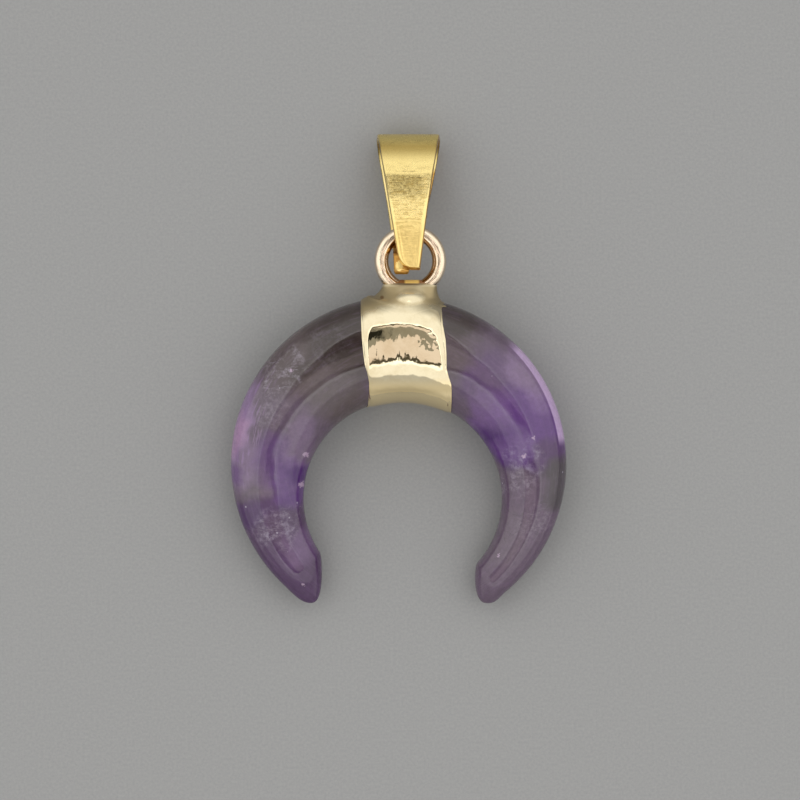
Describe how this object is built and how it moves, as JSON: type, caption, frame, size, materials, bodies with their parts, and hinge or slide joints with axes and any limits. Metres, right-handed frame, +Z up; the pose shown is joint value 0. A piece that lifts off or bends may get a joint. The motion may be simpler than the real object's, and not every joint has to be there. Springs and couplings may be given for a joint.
{
  "type": "moon pendant",
  "caption": "Polished crescent of smoky purple stone, horns down, in a plated band with a soldered ring and a tapered folded bail for a chain.",
  "frame": {"origin": "centre of the bounding box, on the surface that the pendant lies on", "axes": "the pendant lies on its back: +X right across the crescent, +Y towards the bail, +Z up out of its front"},
  "size_m": [0.03, 0.042, 0.0078],
  "materials": {
    "stone": "polished amethyst, smoky grey by the cap and purple to lilac in zones, with white veils",
    "pale_gold": "thin pale gold plating, polished, slightly rippled",
    "yellow_gold": "yellow gold plating, satin with fine streaks, bright bevelled edges"
  },
  "bodies": {
    "root": {"stone": "stone", "cap": "pale_gold", "bail": "yellow_gold"}
  },
  "joints": []
}
